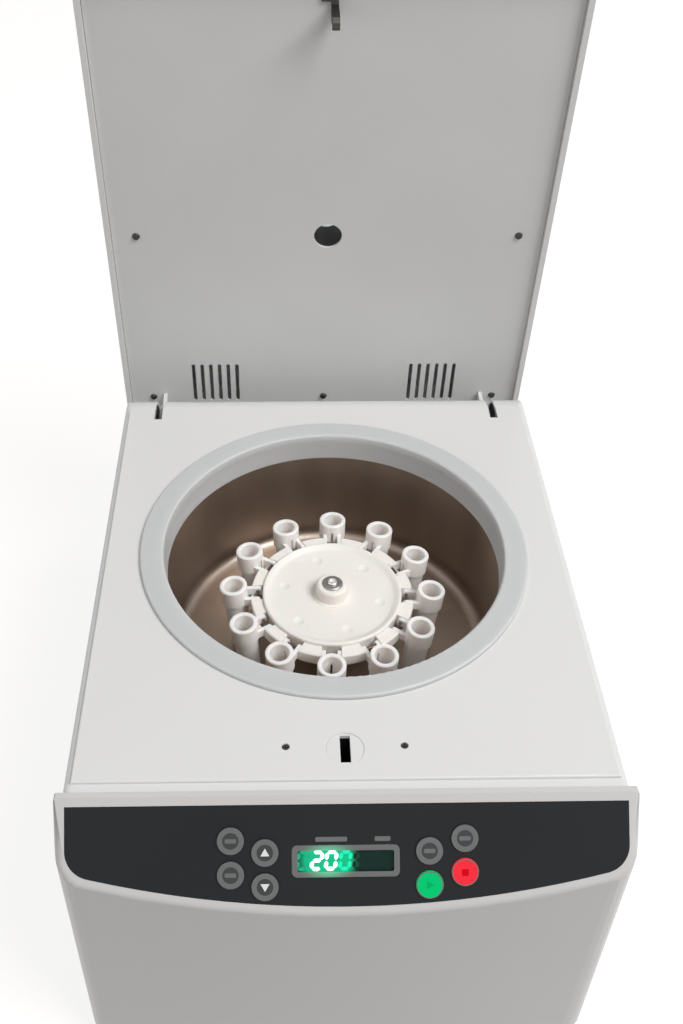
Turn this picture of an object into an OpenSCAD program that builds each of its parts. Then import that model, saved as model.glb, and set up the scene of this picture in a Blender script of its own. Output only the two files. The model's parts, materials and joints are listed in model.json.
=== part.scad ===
// Small bench centrifuge with a hinged lid and a twelve-place swing-out rotor.
// Millimetres, +Z up. The origin is on the rotor axis, at the bench surface.
// +X is to the right and -Y is the front, where the control panel is.

/* [Casing] */
// Width over the casing's side walls
casing_w = 306.8; // [300:0.1:314]
// Height of the deck's top face above the bench
deck_z = 232; // [228:0.5:244]
// Rotor axis back to the rear wall
rear_y = 174; // [172:0.5:184]
// Rotor axis forward to the casing's front edge
front_y = 186; // [184:0.5:190]
// Thickness of the casing wall
casing_t = 2; // [1.5:0.1:3]
// Radius of the rear top edge and of the rear plan corners
rear_r = 20; // [14:1:24]
// Radius of the long top edges
shoulder_r = 5; // [3:0.5:8]
// Height of the rubber feet
foot_h = 13; // [8:1:20]
// Width of the shoulder beside the deck plate
shoulder_w = 4.1; // [4.1:0.1:8]
// Width of the raised deck plate
deck_w = casing_w - 2 * shoulder_w;
// How far the deck stands above the casing's shoulder
deck_rise = 2; // [1.5:0.1:3]

/* [Front bezel] */
// How far the bezel stands out beside the casing
bezel_step = 3.6; // [2:0.1:6]
// Width over the bezel
bezel_w = casing_w + 2 * bezel_step;
// Rotor axis forward to the middle of the bowed front face
bow_y = 232; // [226:0.5:240]
// Radius of the bowed front face, seen from above
bow_r = 920; // [700:10:1200]
// Plan radius of the bezel's corners
bezel_corner_r = 16; // [12:0.5:20]
// Slope of the control panel from the horizontal
panel_slope = 48; // [44:1:52]
// Radius of the nose between the panel and the front face
nose_r = 5.5; // [4:0.5:8]
// Wall of the bezel moulding
bezel_t = 3; // [2:0.5:4]

/* [Control panel] */
// Rim of the bezel beside the overlay
overlay_margin = 6; // [5.5:0.5:12]
// Width of the dark overlay
overlay_w = bezel_w - 2 * overlay_margin;
// Length of the overlay down the slope, at the middle
overlay_len = 55; // [52:0.5:56]
// Radius of the overlay's bowed lower edge
overlay_bow_r = 615; // [500:5:800]
// Radius of the overlay's lower corners
overlay_corner_r = 15; // [8:1:20]
// Thickness of the overlay
overlay_t = 1.2; // [0.8:0.1:2]
// Diameter of a key
key_d = 14.8; // [12:0.1:16]
// Distance between the two keys of a column
key_pitch = 18; // [17:0.1:19]
// How far a key stands proud of the overlay
key_rise = 1.2; // [1:0.1:2]
// How far a key travels
key_travel = 0.8; // [0.4:0.1:1]
// Width of the display lens
lens_w = 58; // [50:0.5:64]
// Height of the display lens
lens_h = 17.2; // [15:0.1:20]

/* [Bowl and gasket] */
// Inner radius of the bowl
bowl_r = 113; // [112:0.5:115]
// Depth of the bowl's floor below the deck
bowl_depth = 98; // [96:0.5:104]
// Thickness of the bowl's sheet
bowl_t = 1.2; // [0.8:0.1:2]
// Outer radius of the gasket
gasket_r = 127.5; // [125:0.5:130]
// Height of the gasket above the deck
gasket_rise = 3; // [2:0.1:3.2]

/* [Rotor] */
// Number of tube places
places = 12; // [8:1:12]
// Radius of the circle on which the sleeves' pivots lie
pivot_r = 51.4; // [50:0.1:54]
// Depth of the pivots below the deck
pivot_drop = 50; // [49:0.5:52]
// Radius of the rotor's cover disc
disc_r = 47.8; // [44:0.1:48]
// Radius over the ring of blocks
block_r = 56; // [55:0.1:57]
// Radius of the drive shaft
shaft_r = 6; // [5:0.1:7]
// Turn of the rotor at rest
rotor_turn = -2.4; // [-15:0.1:15]

/* [Tube sleeves] */
// Radius of the bore that takes a 12 mm tube
tube_bore_r = 6.4; // [6.2:0.05:6.6]
// Radius of the collar
collar_r = 9.4; // [9:0.1:9.6]
// Height of the collar
collar_h = 14.2; // [12:0.1:16]
// Length of a sleeve
sleeve_len = 52; // [48:0.5:54]
// Pivot out to the sleeve's axis
arm_reach = 15.7; // [15:0.1:17]
// Thickness of each arm
arm_t = 2.6; // [2:0.1:3]
// Gap between a sleeve's two arms
arm_gap = 7.6; // [7:0.1:9]
// Lean of a sleeve at rest
sleeve_lean = 5; // [2:0.5:8]

/* [Lid] */
// Angle through which the lid is open
lid_open = 84.66; // [0:0.01:90]
// How far the lid stands out beside the casing
lid_overhang = 5.1; // [4:0.1:8]
// Width over the lid
lid_w = casing_w + 2 * lid_overhang;
// Height of the lid's shell
lid_h = 32; // [26:0.5:40]
// Thickness of the lid's side walls
lid_wall = 3.8; // [3:0.1:4]
// Rotor axis forward to the lid's front face
lid_front_y = 185.6; // [185:0.1:190]
// Rotor axis back to the lid's rear face
lid_rear_y = 171; // [170:0.1:173]
// Rotor axis back to the hinge axis
hinge_y = 160.5; // [158:0.1:162]
// Depth of the hinge axis below the deck
hinge_drop = 36; // [34:0.1:40]
// Lid's side in to each hinge arm
hinge_inset = 31.5; // [28:0.5:36]
// Rotor axis out to each hinge arm
hinge_x = lid_w / 2 - hinge_inset;
// Radius of the sight hole
sight_r = 10; // [8:0.5:14]

/* [Hidden] */
$fn = 96;

// Colours, as the photograph shows them
white = "#f0f0ee";
liner_grey = "#b4b4b2";
charcoal = "#3a3d40";
key_grey = "#7d807f";
ivory = "#efe9df";
steel = "#a9a39c";
dark_steel = "#55504c";
silicone = "#d8dcdc";
black = "#1c1c1e";

// Clearances
gap = 0.3;
run_gap = 0.05;
eps = 0.01;
cut = 1;

// Heights
shoulder_z = deck_z - deck_rise;
base_z = foot_h;
floor_z = deck_z - bowl_depth;
hinge_z = deck_z - hinge_drop;

// Casing
half_w = casing_w / 2;
deck_half = deck_w / 2;
deck_front_y = front_y - 5.6;
deck_rear_y = rear_y - rear_r - 2;
deck_edge_r = 1.2;
deck_corner_r = 9;
window_inset = 7;
window_front_inset = 4;
deck_rib_h = 8;
deck_rib_t = 2;
pan_t = 2;
pan_flange = 14;
screw_r = 2;
screw_head_r = 3.6;
screw_head_h = 2.2;
screw_len = 8;
side_screw_end = 36;
side_screw_front = 36;
foot_r = 15;
foot_inset = 31;
foot_front_inset = 18;
foot_rear_inset = 34;
foot_recess_r = 3.9;
foot_recess_h = 5;
back_vent_n = 10;
back_vent_w = 3;
back_vent_h = 44;
back_vent_pitch = 8;
back_vent_x = -96;
back_vent_z = base_z + 34;
pan_vent_n = 13;
pan_vent_w = 3.2;
pan_vent_l = 32;
pan_vent_pitch = 9;
pan_vent_y = 100;

// Bezel and panel
bezel_half = bezel_w / 2;
bezel_top_z = deck_z - 1;
panel_y = -front_y - 6;
panel_z = deck_z - 4;
bezel_top_y = panel_y + (bezel_top_z - panel_z) / tan(panel_slope);
overlay_top = 1;
overlay_sink = 0.2;
overlay_half = overlay_w / 2;

// Key columns: place across, and the upper key's distance down the slope
key_cols = [[-62.8, 19.6], [-44.5, 26], [43.4, 26], [62.4, 19.6]];
key_r = key_d / 2;
key_fit = 0.15;
key_flange = 1;
key_stem_r = 2;
key_stem_len = 2;
wall_under = overlay_sink + overlay_t + bezel_t;
button_h = 3;
board_z = -(wall_under + key_travel + key_flange + key_stem_len + button_h + 0.9);
board_t = 1.6;
board_w = 160;
board_h = 46;
board_s = 31;
post_x = 74;
post_r = 3;
lens_s = 31.1;
lens_x = -1.3;
lens_t = 1.2;
lens_corner_r = 3;
module_w = 52;
module_h = 12.5;

// Latch
latch_y = -160.6;
latch_disc_r = 10.5;
latch_slot_w = 5.7;
latch_slot_l = 17.6;
latch_disc_t = 3;
lock_screw_x = 33;
lock_screw_y = -159;
lock_screw_r = 1.5;
lock_head_r = 2.1;
lock_plate_h = 10;
lock_screw_len = lock_plate_h + 2;
lock_w = 2 * lock_screw_x + 10;
lock_l = 24;
lock_h = 34;
lock_body_x = 32;
bolt_w = 8;
bolt_h = 4.6;
bolt_len = 26;
bolt_tip_x = -3.6;
bolt_travel = 7.4;
bolt_z = deck_z - 13;
hook_t = 4.7;
hook_w = 7.6;
hook_len = 24;
hook_root = 9;

// Gasket
gasket_lip = 15.5;
gasket_leg = 17;
gasket_seat_r = bowl_r + 5;
gasket_in_r = gasket_r - gasket_lip;

// Bowl
bowl_corner_r = 9;
bowl_flange = 12;
bowl_hole_r = 17;
bowl_flange_z = deck_z - 3.3;

// Rotor heights, measured from the deck
pivot_z = deck_z - pivot_drop;
rim_z = deck_z - 44;
block_top_z = rim_z - 2.6;
block_bottom_z = block_top_z - 10;
dish_z = rim_z - 2.8;
disc_under_z = dish_z - 2.4;
boss_z = rim_z + 7.5;
boss_r = 11;
boss_ring_r = 13;
washer_r = 7;
washer_t = 2.6;
hub_r = 19;
hub_bottom_z = floor_z + 9;
web_t = 3.6;
slot_w = 2 * arm_t + arm_gap + 2 * gap / 2;
slot_in_r = pivot_r - 4.6;
place_angle = 360 / places;
pin_r = 1;
pin_grip = 3.6;
arm_half = 2.9;
ledge_in_r = pivot_r + 2.2;
dimple_n = 6;
dimple_at_r = 33.5;
dimple_r = 4;
dimple_depth = 1;
dimple_turn = -14;

// Sleeve
collar_top = 11.2;
sleeve_bottom = collar_top - sleeve_len;
sleeve_body_r = 8.2;
sleeve_foot_r = 7.3;
sleeve_floor_t = 2;
drain_r = 1.5;
sleeve_slot_w = 1.4;
sleeve_slot_top = 6;
sleeve_slot_len = 30;

// Motor
motor_r = 48;
motor_z = base_z + pan_t + 29;
motor_top_z = floor_z - 12;
plate_half = 74;
plate_t = 4;
damper_r = 12;
damper_at = 56;
bearing_r = 13;
bearing_h = 8;
shoulder_shaft_r = 9;

// Rear panel fittings
inlet_x = half_w - 61.4;
inlet_z = base_z + 48;
inlet_w = 27;
inlet_h = 20;
inlet_flange = 4;
inlet_depth = 20;
switch_x = inlet_x - 40;
switch_w = 13;
switch_h = 19;
rocker_tilt = 10;
axle_r = 1.1;

// Lid, in its closed place
lid_half = lid_w / 2;
lip_z = deck_z - 0.6;
liner_z = deck_z + 3.5;
liner_t = 2;
lid_edge_r = 12;
lid_plan_r = 10;
lid_top_t = 3;
liner_gap = 0.3;
liner_half = lid_half - lid_wall - liner_gap;
liner_screw_x = lid_half - 21.5;
liner_screw_y = [lid_rear_y - 17.4, 0];
liner_screw_r = 1.25;
liner_post_r = 4.5;
vent_n = 6;
vent_pitch = 6.86;
vent_first_x = hinge_x - 58;
vent_w = 2.9;
vent_front_y = 120;
vent_rear_y = 158;
arm_plate_t = 3;
hinge_pin_r = 3;
hinge_cheek_t = 2;
hinge_eye_r = 9;
hinge_slot_w = 5.7;
hinge_slot_y = 136.5;
hinge_slot_z = deck_z - 45;
arm_front_y = hinge_slot_y + 0.5;
arm_neck_y = hinge_slot_y + 13.5;
arm_rear_y = hinge_y + 4;
arm_drop = 16;
arm_shoulder = 9;
arm_neck = 26;

// Places its children on the sloping panel: Y runs up the slope and Z stands out of it.
module on_panel() {
    translate([0, panel_y, panel_z]) rotate([panel_slope, 0, 0]) children();
}

// Turns its children with the lid about the hinge axis.
module on_lid() {
    translate([0, hinge_y, hinge_z])
        rotate([-lid_open, 0, 0])
            translate([0, -hinge_y, -hinge_z]) children();
}

// Extrudes a side view, drawn as (y, z), across the given width.
module across(w) {
    translate([-w / 2, 0, 0]) rotate([90, 0, 90]) linear_extrude(w) children();
}

// Extrudes a front view, drawn as (x, z), from y0 back to y1.
module along(y0, y1) {
    translate([0, y1, 0]) rotate([90, 0, 0]) linear_extrude(y1 - y0) children();
}

// A rectangle from corner to corner.
module box2(x0, y0, x1, y1) {
    translate([x0, y0]) square([x1 - x0, y1 - y0]);
}

// A block from corner to corner.
module box3(p, q) {
    translate(p) cube(q - p);
}

// A rectangle centred on the origin with round corners.
module round_rect(w, h, r) {
    square([w - 2 * r, h], center = true);
    square([w, h - 2 * r], center = true);
    for (x = [-1, 1], y = [-1, 1])
        translate([x * (w / 2 - r), y * (h / 2 - r)]) circle(r);
}

// A tube along Z.
module tube(r_out, r_in, h) {
    difference() {
        cylinder(r = r_out, h = h);
        translate([0, 0, -cut]) cylinder(r = r_in, h = h + 2 * cut);
    }
}

// The casing's outer form, drawn in by the given distance.
module casing_form(inset, bottom_z, front) {
    w = half_w - inset;
    y1 = rear_y - inset;
    z1 = shoulder_z - inset;
    r = rear_r - inset;
    e = shoulder_r - inset;
    intersection() {
        across(casing_w + 2 * cut) {
            box2(-front, bottom_z, y1 - r, z1);
            box2(-front, bottom_z, y1, z1 - r);
            translate([y1 - r, z1 - r]) circle(r);
        }
        along(-front - cut, rear_y + cut) {
            box2(-w, bottom_z, w, z1 - e);
            box2(-w + e, bottom_z, w - e, z1);
            for (s = [-1, 1]) translate([s * (w - e), z1 - e]) circle(e);
        }
        translate([0, 0, bottom_z]) linear_extrude(z1 - bottom_z) {
            box2(-w, -front, w, y1 - r);
            box2(-w + r, -front, w - r, y1);
            for (s = [-1, 1]) translate([s * (w - r), y1 - r]) circle(r);
        }
    }
}

// The two slots through which the lid's arms pass.
module hinge_slots() {
    for (s = [-1, 1])
        translate([s * hinge_x, 0, 0])
            box3([-hinge_slot_w / 2, hinge_slot_y, hinge_slot_z],
                 [hinge_slot_w / 2, rear_y + cut, deck_z + cut]);
}

// Places of the screws that hold the casing to the pan, on both sides.
module casing_screw_places() {
    y0 = -front_y + side_screw_front;
    y1 = rear_y - rear_r - side_screw_end;
    for (s = [-1, 1], y = [y0, (y0 + y1) / 2, y1])
        translate([s * half_w, y, base_z + pan_flange - 5]) rotate([0, s * 90, 0]) children();
}

// Painted sheet cover: two sides, the back and the shoulder round the deck.
module outer_casing() {
    color(white) difference() {
        casing_form(0, base_z, front_y);
        casing_form(casing_t, base_z - cut, front_y + cut);
        box3([-deck_half + window_inset, -deck_front_y + window_front_inset, shoulder_z - casing_t - cut],
             [deck_half - window_inset, deck_rear_y - window_inset, shoulder_z + cut]);
        hinge_slots();
        casing_screw_places()
            translate([0, 0, -casing_t - cut]) cylinder(r = screw_r + run_gap, h = casing_t + 2 * cut);
        for (i = [0:back_vent_n - 1])
            translate([back_vent_x + i * back_vent_pitch, rear_y - casing_t - cut, back_vent_z])
                cube([back_vent_w, casing_t + 2 * cut, back_vent_h]);
        translate([inlet_x, rear_y + cut, inlet_z]) rotate([90, 0, 0])
            linear_extrude(casing_t + 2 * cut)
                square([inlet_w + gap, inlet_h + gap], center = true);
        translate([switch_x, rear_y + cut, inlet_z]) rotate([90, 0, 0])
            linear_extrude(casing_t + 2 * cut)
                square([switch_w + gap, switch_h + gap], center = true);
    }
}

// Raised deck plate with the bowl's opening, the latch seat and the two hinge slots.
module top_deck() {
    rib_z = shoulder_z - deck_rib_h;
    rib_x = deck_half - window_inset - gap;
    rib_y0 = -deck_front_y + window_front_inset + gap;
    rib_y1 = deck_rear_y - window_inset - gap;
    color(white) difference() {
        union() {
            translate([0, 0, shoulder_z]) linear_extrude(deck_rise - deck_edge_r) deck_plan();
            intersection() {
                translate([0, 0, shoulder_z]) linear_extrude(deck_rise) deck_plan();
                across(deck_w) {
                    box2(-deck_front_y + deck_edge_r, shoulder_z, deck_rear_y, deck_z);
                    translate([-deck_front_y + deck_edge_r, deck_z - deck_edge_r])
                        circle(deck_edge_r);
                }
                along(-deck_front_y - cut, deck_rear_y + cut) {
                    box2(-deck_half + deck_edge_r, shoulder_z, deck_half - deck_edge_r, deck_z);
                    for (s = [-1, 1])
                        translate([s * (deck_half - deck_edge_r), deck_z - deck_edge_r])
                            circle(deck_edge_r);
                }
            }
            difference() {
                box3([-rib_x, rib_y0, rib_z], [rib_x, rib_y1, shoulder_z + eps]);
                box3([-rib_x + deck_rib_t, rib_y0 + deck_rib_t, rib_z - cut],
                     [rib_x - deck_rib_t, rib_y1 - deck_rib_t, shoulder_z]);
            }
            translate([0, 0, bowl_flange_z])
                cylinder(r = bowl_r + bowl_flange + 3, h = shoulder_z - bowl_flange_z + eps);
        }
        translate([0, 0, rib_z - cut]) cylinder(r = gasket_seat_r, h = deck_z);
        translate([0, latch_y, deck_z - latch_disc_t]) cylinder(r = latch_disc_r + run_gap, h = deck_z);
        translate([0, latch_y, rib_z]) cylinder(r = latch_disc_r - 1.5, h = deck_z);
        for (s = [-1, 1])
            translate([s * lock_screw_x, lock_screw_y, rib_z])
                cylinder(r = lock_head_r + gap / 2, h = deck_z);
        hinge_slots();
    }
}

// The deck seen from above, with round rear corners.
module deck_plan() {
    r = deck_corner_r;
    box2(-deck_half, -deck_front_y, deck_half, deck_rear_y - r);
    box2(-deck_half + r, -deck_front_y, deck_half - r, deck_rear_y);
    for (s = [-1, 1]) translate([s * (deck_half - r), deck_rear_y - r]) circle(r);
}

// The front moulding's outline seen from above, drawn in by the given distance.
module bezel_plan(inset) {
    r = bezel_corner_r - inset;
    w = bezel_half - inset;
    cx = bezel_half - bezel_corner_r;
    bow_c = bow_r - bow_y;
    cy = bow_c - sqrt(pow(bow_r - bezel_corner_r, 2) - cx * cx);
    tx = cx * (bow_r - inset) / (bow_r - bezel_corner_r);
    intersection() {
        translate([0, bow_c]) circle(bow_r - inset, $fn = 720);
        box2(-tx, -bow_y - cut, tx, -front_y);
    }
    box2(-w, cy, w, -front_y);
    for (s = [-1, 1]) translate([s * cx, cy]) circle(r);
}

// Distance forward of the bow, drawn in by d, at the place x across.
function bow_at(x, d) = bow_r - bow_y - sqrt(pow(bow_r - d, 2) - x * x);

// Height of the panel's slope at the place y, measured d below the face.
function slope_at(y, d) = panel_z + (y - panel_y) * tan(panel_slope) - d / cos(panel_slope);

// Points round the front of the moulding's outline, drawn in by d: the bow and both corners.
function bezel_rim(d) = let (
    cx = bezel_half - bezel_corner_r,
    cy = bow_at(cx, bezel_corner_r),
    k = bezel_corner_r - d
) concat(
    [for (a = [90:-18:18]) [-cx - k * sin(a), cy - k * cos(a)]],
    [for (i = [-6:6]) [i * cx / 6, bow_at(i * cx / 6, d)]],
    [for (a = [18:18:90]) [cx + k * sin(a), cy - k * cos(a)]]
);

// Solid form of the front moulding with its rounded nose.
module bezel_form() {
    hull() {
        for (p = bezel_rim(nose_r))
            translate([p[0], p[1], slope_at(p[1], nose_r)]) sphere(nose_r, $fn = 32);
        translate([0, 0, base_z]) linear_extrude(1)
            polygon(concat([[bezel_half, -front_y], [-bezel_half, -front_y]], bezel_rim(0)));
        box3([-bezel_half + 1, bezel_top_y, bezel_top_z - 1], [bezel_half - 1, -front_y, bezel_top_z]);
        box3([-bezel_half, bezel_top_y - 1, bezel_top_z - 2.2], [bezel_half, -front_y, bezel_top_z - 1.2]);
    }
}

// The overlay's outline in the panel's plane, drawn in by the given distance.
module overlay_outline(inset) {
    r = overlay_corner_r - inset;
    cx = overlay_half - overlay_corner_r;
    bow_c = overlay_bow_r - overlay_len;
    cy = bow_c - sqrt(pow(overlay_bow_r - overlay_corner_r, 2) - cx * cx);
    tx = cx * (overlay_bow_r - inset) / (overlay_bow_r - overlay_corner_r);
    intersection() {
        translate([0, bow_c]) circle(overlay_bow_r - inset, $fn = 720);
        box2(-tx, -overlay_len - cut, tx, -overlay_top - inset);
    }
    box2(-overlay_half + inset, cy, overlay_half - inset, -overlay_top - inset);
    for (s = [-1, 1]) translate([s * cx, cy]) circle(r);
}

// Puts its children on the key of the given column and row.
module at_key(col, row) {
    translate([key_cols[col][0], -key_cols[col][1] - row * key_pitch, 0]) children();
}

// Front moulding: sloping face for the controls, rounded nose and bowed front.
module front_bezel() {
    back = overlay_sink + overlay_t;
    color(white) difference() {
        union() {
            difference() {
                bezel_form();
                intersection() {
                    across(bezel_w) polygon([
                        [-front_y + cut, base_z - cut],
                        [-bow_y - cut, base_z - cut],
                        [-bow_y - cut, slope_at(-bow_y - cut, back + bezel_t)],
                        [bezel_top_y, slope_at(bezel_top_y, back + bezel_t)],
                        [-front_y + cut, slope_at(bezel_top_y, back + bezel_t)]
                    ]);
                    translate([0, 0, base_z - cut])
                        linear_extrude(deck_z) bezel_cavity_plan();
                }
            }
            on_panel()
                for (x = [-post_x, post_x], y = [-1, 1])
                    translate([x, -board_s + y * (board_h / 2 - 5), board_z])
                        cylinder(r = post_r, h = -board_z - back - 1);
        }
        on_panel() {
            translate([0, 0, -back]) linear_extrude(back + cut) overlay_outline(-gap / 2);
            for (col = [0:3], row = [0:1])
                at_key(col, row) translate([0, 0, -wall_under - cut])
                    cylinder(r = key_r + key_fit, h = wall_under + 2 * cut);
            translate([lens_x, -lens_s, -wall_under - cut])
                linear_extrude(wall_under) square([module_w + gap, module_h + gap], center = true);
        }
    }
}

// The cavity of the front moulding seen from above, open to the back.
module bezel_cavity_plan() {
    bezel_plan(bezel_t);
    box2(-bezel_half + bezel_t, -front_y - cut, bezel_half - bezel_t, -front_y + 2 * cut);
}

// Dark printed sheet on the sloping face, with the key holes and the display's window.
module control_overlay() {
    color(charcoal) on_panel()
        translate([0, 0, -overlay_sink - overlay_t]) linear_extrude(overlay_t)
            difference() {
                overlay_outline(0);
                for (col = [0:3], row = [0:1])
                    at_key(col, row) circle(key_r + key_fit);
                translate([lens_x, -lens_s])
                    round_rect(lens_w + gap, lens_h + gap, lens_corner_r + gap / 2);
            }
}

// Round key: cap with a domed edge, retaining flange and stem.
module key(col, row, tone) {
    top = key_rise - overlay_sink;
    edge = 0.6;
    under = -wall_under - gap;
    color(tone) on_panel() at_key(col, row) rotate_extrude() difference() {
        union() {
            box2(0, under, key_r, top - edge);
            box2(0, under, key_r - edge, top);
            translate([key_r - edge, top - edge]) circle(edge);
            box2(0, under - key_flange, key_r + key_flange, under);
            box2(0, under - key_flange - key_stem_len, key_stem_r, under);
        }
        box2(-key_r, under - 2 * key_flange - key_stem_len, 0, top + cut);
    }
}

// Clear window over the display.
module display_lens() {
    color("#2f5a4a") on_panel()
        translate([lens_x, -lens_s, -overlay_sink - overlay_t])
            linear_extrude(lens_t) round_rect(lens_w, lens_h, lens_corner_r);
}

// Lit number module behind the lens, standing on the board.
module display_module() {
    top = -overlay_sink - overlay_t - gap;
    color("#12301f") on_panel()
        translate([lens_x - module_w / 2, -lens_s - module_h / 2, board_z])
            cube([module_w, module_h, top - board_z]);
}

// Circuit board behind the panel, with one push switch under each key.
module control_board() {
    side = 6;
    color("#2e6b3f") on_panel() {
        translate([-board_w / 2, -board_s - board_h / 2, board_z - board_t])
            cube([board_w, board_h, board_t]);
        for (col = [0:3], row = [0:1])
            at_key(col, row) {
                translate([-side / 2, -side / 2, board_z - eps]) cube([side, side, button_h - 1]);
                translate([0, 0, board_z]) cylinder(r = 1.7, h = button_h);
            }
    }
}

// Sheet pan that carries the feet, the motor and the casing.
module base_pan() {
    side = half_w - casing_t - gap;
    back = rear_y - casing_t - gap;
    r = rear_r - casing_t - gap;
    color(steel) difference() {
        union() {
            translate([0, 0, base_z]) linear_extrude(pan_flange) pan_plan(side, back, r);
            translate([0, 0, base_z]) linear_extrude(pan_t) bezel_plan(bezel_t + gap);
            box3([-side, -front_y - 2, base_z], [side, -front_y + 4, base_z + pan_t]);
        }
        translate([0, 0, base_z + pan_t]) linear_extrude(pan_flange)
            pan_plan(side - pan_t, back - pan_t, r - pan_t);
        box3([-side + pan_t, -bow_y, base_z + pan_t], [side - pan_t, 0, base_z + pan_flange + cut]);
        casing_screw_places()
            translate([0, 0, -screw_len - cut]) cylinder(r = screw_r, h = screw_len + 2 * cut);
        foot_places() translate([0, 0, -cut]) cylinder(r = screw_r, h = base_z + pan_t + 2 * cut);
        for (i = [0:pan_vent_n - 1])
            translate([(i - (pan_vent_n - 1) / 2) * pan_vent_pitch, pan_vent_y, base_z])
                cube([pan_vent_w, pan_vent_l, 3 * pan_t], center = true);
    }
}

// The pan seen from above.
module pan_plan(side, back, r) {
    box2(-side, -front_y + 4, side, back - r);
    box2(-side + r, -front_y + 4, side - r, back);
    for (s = [-1, 1]) translate([s * (side - r), back - r]) circle(r);
}

// Places of the four feet, at bench level.
module foot_places() {
    for (s = [-1, 1], y = [-front_y + foot_front_inset, rear_y - foot_rear_inset])
        translate([s * (half_w - foot_inset), y, 0]) children();
}

// Four moulded feet with a screw recess from below.
module rubber_feet() {
    seat_z = base_z - foot_recess_h;
    color(black) foot_places() rotate_extrude() polygon([
        [foot_recess_r, 0], [foot_r - 2.5, 0], [foot_r - 1.5, 1], [foot_r, base_z],
        [screw_r + run_gap, base_z], [screw_r + run_gap, seat_z], [foot_recess_r, seat_z]
    ]);
}

// Screws through the casing's sides into the pan, and up through the feet.
module casing_screws() {
    color(dark_steel) {
        casing_screw_places() {
            rotate_extrude() intersection() {
                translate([0, -screw_head_r]) circle(screw_head_r + screw_head_h / 2 + 0.5);
                box2(0, 0, screw_head_r, screw_head_h);
            }
            translate([0, 0, -screw_len]) cylinder(r = screw_r, h = screw_len + eps);
        }
        foot_places() {
            translate([0, 0, base_z - foot_recess_h - 3]) cylinder(r = screw_head_r, h = 3);
            translate([0, 0, base_z - foot_recess_h - eps])
                cylinder(r = screw_r, h = foot_recess_h + pan_t + 3);
        }
    }
}

// Round inset with the slot for the lid's hook.
module latch_escutcheon() {
    color(white) difference() {
        translate([0, latch_y, deck_z - latch_disc_t]) cylinder(r = latch_disc_r, h = latch_disc_t - 0.4);
        translate([0, latch_y, 0]) linear_extrude(deck_z)
            square([latch_slot_w, latch_slot_l], center = true);
    }
}

// Two screws that hang the lock from the deck.
module lock_screws() {
    color(dark_steel)
        for (s = [-1, 1]) translate([s * lock_screw_x, lock_screw_y, 0]) difference() {
            union() {
                translate([0, 0, shoulder_z - 0.2]) cylinder(r = lock_head_r, h = 1.4);
                translate([0, 0, shoulder_z - lock_screw_len])
                    cylinder(r = lock_screw_r, h = lock_screw_len);
            }
            translate([0, 0, shoulder_z + 0.4]) linear_extrude(2) {
                square([0.6, 2.6], center = true);
                square([2.6, 0.6], center = true);
            }
        }
}

// Lock under the deck: body with the hook's slot and the bolt's channel.
module lock_housing() {
    color(black) difference() {
        union() {
            translate([-lock_w / 2, latch_y - lock_l / 2, shoulder_z - lock_plate_h])
                cube([lock_w, lock_l, lock_plate_h - gap]);
            translate([-lock_body_x, latch_y - lock_l / 2, shoulder_z - lock_h])
                cube([lock_body_x + bolt_travel + 6.6, lock_l, lock_h - lock_plate_h + cut]);
        }
        translate([0, latch_y, shoulder_z - lock_h - cut]) linear_extrude(lock_h + 2 * cut)
            square([latch_slot_w + 1, latch_slot_l + 1], center = true);
        translate([0, latch_y, deck_z - latch_disc_t - gap]) cylinder(r = latch_disc_r + gap, h = 10);
        translate([bolt_tip_x - bolt_len - 1, latch_y, bolt_z])
            rotate([90, 0, 90]) linear_extrude(bolt_len + bolt_travel + 3)
                square([bolt_w + 2 * run_gap, bolt_h + 2 * run_gap], center = true);
        for (s = [-1, 1])
            translate([s * lock_screw_x, lock_screw_y, shoulder_z - lock_screw_len - cut])
                cylinder(r = lock_screw_r + run_gap, h = lock_screw_len + 2 * cut);
    }
}

// Sliding bolt that passes through the hook's eye, with a bevelled tip.
module lock_bolt() {
    color(steel) translate([bolt_tip_x, latch_y, bolt_z]) difference() {
        translate([-bolt_len, -bolt_w / 2, -bolt_h / 2]) cube([bolt_len, bolt_w, bolt_h]);
        translate([0, 0, bolt_h / 2]) rotate([0, 45, 0]) cube([3, bolt_w + cut, 3], center = true);
    }
}

// Deep-drawn stainless bowl with a rolled flange and a hole for the drive.
module bowl() {
    r1 = bowl_r + bowl_t;
    zf = floor_z - bowl_t;
    rc = bowl_corner_r;
    color(steel) rotate_extrude() difference() {
        union() {
            box2(0, zf + rc + bowl_t, r1, bowl_flange_z);
            box2(0, zf, r1 - rc - bowl_t, zf + rc + bowl_t + eps);
            translate([r1 - rc - bowl_t, zf + rc + bowl_t]) circle(rc + bowl_t);
            box2(0, bowl_flange_z - bowl_t, bowl_r + bowl_flange, bowl_flange_z);
        }
        box2(-1, floor_z + rc, bowl_r, deck_z);
        box2(-1, floor_z, bowl_r - rc, floor_z + rc + eps);
        translate([bowl_r - rc, floor_z + rc]) circle(rc);
        box2(-2 * bowl_r, zf - cut, bowl_hole_r, floor_z + 2 * cut);
        box2(-2 * bowl_r, zf - cut, 0, deck_z);
    }
}

// Soft ring that covers the edge of the opening and seals against the lid's liner.
module bowl_gasket() {
    top = deck_z + gasket_rise;
    r = 1.4;
    leg_r = bowl_r - 0.2;
    color(silicone) rotate_extrude() {
        polygon([
            [gasket_in_r, top - r], [leg_r - 2.2, deck_z - gasket_leg], [leg_r, deck_z - gasket_leg],
            [leg_r, bowl_flange_z + gap], [gasket_seat_r - gap, bowl_flange_z + gap],
            [gasket_seat_r - gap, deck_z], [gasket_r, deck_z], [gasket_r, top - r]
        ]);
        box2(gasket_in_r + r, top - r - eps, gasket_r - r, top);
        for (x = [gasket_in_r + r, gasket_r - r]) translate([x, top - r]) circle(r);
    }
}

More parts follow.
